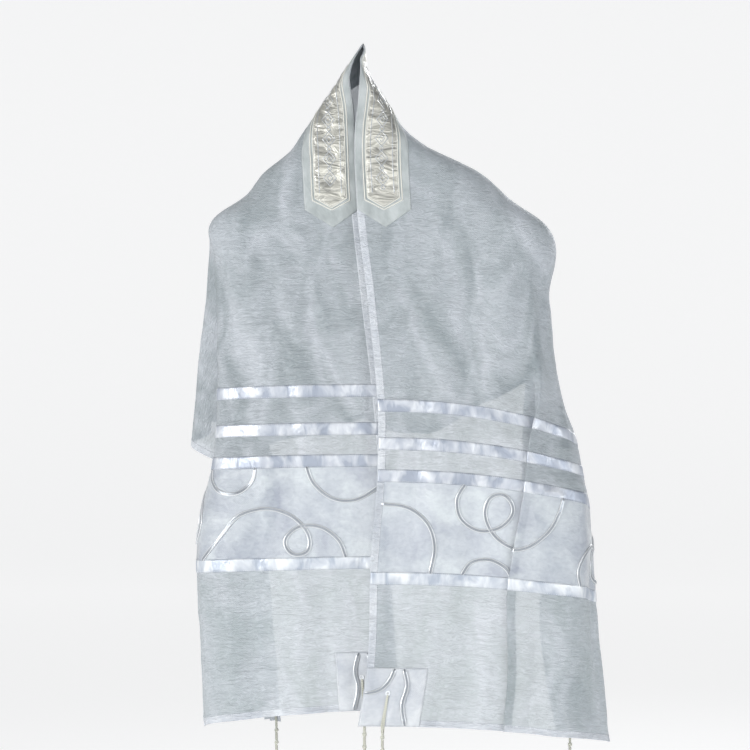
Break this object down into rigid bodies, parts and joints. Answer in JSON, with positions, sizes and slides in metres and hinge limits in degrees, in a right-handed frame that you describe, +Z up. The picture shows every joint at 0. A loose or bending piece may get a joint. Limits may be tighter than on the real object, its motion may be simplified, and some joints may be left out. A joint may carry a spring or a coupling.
{
  "type": "tallit prayer shawl",
  "caption": "Sheer tallit prayer shawl hung open from its collar's middle, hollow, with satin ribbons, organza bands, pointed atarah, corner patches and knotted tzitzit.",
  "frame": {"origin": "the peak, in the middle of the collar edge, where the shawl is held", "axes": "+Z up; -Y towards the side where the two ends hang; +X to the right seen from there"},
  "size_m": [0.5703, 0.2316, 1.2135],
  "materials": {
    "voile": "sheer crinkled voile, matt with a faint sheen",
    "organza": "crisp glossy organza with couched cord",
    "ribbon_satin": "satin ribbon, glossy along the weave",
    "collar_cloth": "plain weave with piping, matt",
    "collar_satin": "cream satin, soft gloss",
    "thread": "twisted wool thread, matt"
  },
  "bodies": {
    "root": {"body": "voile", "band_left": "organza", "band_right": "organza", "end_left": "voile", "end_right": "voile", "ribbon_left_1": "ribbon_satin", "ribbon_left_2": "ribbon_satin", "ribbon_left_3": "ribbon_satin", "ribbon_left_4": "ribbon_satin", "ribbon_right_1": "ribbon_satin", "ribbon_right_2": "ribbon_satin", "ribbon_right_3": "ribbon_satin", "ribbon_right_4": "ribbon_satin", "collar": "collar_cloth", "collar_panel": "collar_satin", "patch_left_front": "organza", "patch_left_back": "organza", "patch_right_front": "organza", "patch_right_back": "organza", "tzitzit_left_front": "thread", "tzitzit_left_back": "thread", "tzitzit_right_front": "thread", "tzitzit_right_back": "thread"}
  },
  "joints": []
}
